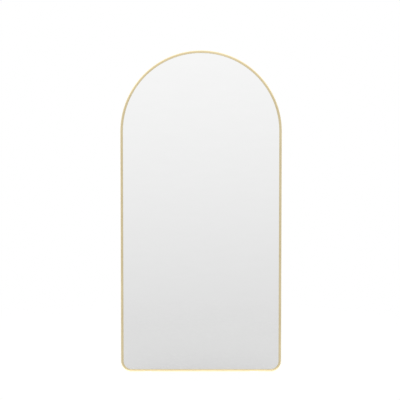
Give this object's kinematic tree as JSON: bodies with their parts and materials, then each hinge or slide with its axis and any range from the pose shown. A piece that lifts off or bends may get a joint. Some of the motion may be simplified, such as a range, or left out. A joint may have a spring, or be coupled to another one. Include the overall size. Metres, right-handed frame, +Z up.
{
  "type": "leaning floor mirror",
  "caption": "Full-length mirror with a half-round top, in a slim brass-coloured metal frame, to stand on the floor and lean against a wall; D-rings on the back also let it hang.",
  "frame": {"origin": "on the floor, under the middle of the frame, half way between its front face and the faces of its wall bumpers (bottom centre of the bounding box)", "axes": "+Z up along the mirror's height; -Y out of the reflecting face, so +Y points to the wall; +X to the right of someone who looks into the glass. The mirror is modelled upright: a scene that leans it turns it about X, foot forward"},
  "size_m": [0.9, 0.033, 1.7998],
  "materials": {
    "brass_aluminium": "finely brushed along its length and anodised a pale brass colour",
    "silvered_glass": "polished clear float glass, silvered on the back, with ground edges",
    "vinyl_film": "woven-backed film, grey",
    "black_foam": "closed-cell foam, matt",
    "white_foam_tape": "closed-cell foam tape",
    "mirror_adhesive": "cured neutral adhesive",
    "black_board": "medium-density fibreboard faced with matt black melamine",
    "zinc_steel": "bright zinc plate",
    "plain_steel": "plain cold-rolled",
    "black_oxide_steel": "black oxide",
    "grey_rubber": "matt",
    "clear_rubber": "soft, translucent"
  },
  "bodies": {
    "mirror": {"frame_arch": "brass_aluminium", "frame_base": "brass_aluminium", "splice_bar_left": "plain_steel", "splice_bar_right": "plain_steel", "splice_screws": "black_oxide_steel", "glazing_gasket": "black_foam", "mirror_glass": "silvered_glass", "safety_film": "vinyl_film", "setting_block_left": "black_foam", "setting_block_right": "black_foam", "edge_spacers": "black_foam", "mounting_tape": "white_foam_tape", "adhesive_beads": "mirror_adhesive", "backing_board": "black_board", "hanger_straps": "zinc_steel", "hanger_screws": "zinc_steel", "upper_bumper_left": "grey_rubber", "upper_bumper_right": "grey_rubber", "lower_bumper_left": "grey_rubber", "lower_bumper_right": "grey_rubber", "floor_pad_left": "clear_rubber", "floor_pad_right": "clear_rubber"},
    "hanger_ring_left": {"hanger_ring_left": "zinc_steel"},
    "hanger_ring_right": {"hanger_ring_right": "zinc_steel"}
  },
  "joints": [
    {"name": "ring_hinge_left", "type": "hinge", "parent": "mirror", "child": "hanger_ring_left", "pos_m": [-0.33, 0.00396, 1.35], "axis": [1, 0, 0], "range_deg": [0, 175]},
    {"name": "ring_hinge_right", "type": "hinge", "parent": "mirror", "child": "hanger_ring_right", "pos_m": [0.33, 0.00396, 1.35], "axis": [1, 0, 0], "range_deg": [0, 175]}
  ]
}
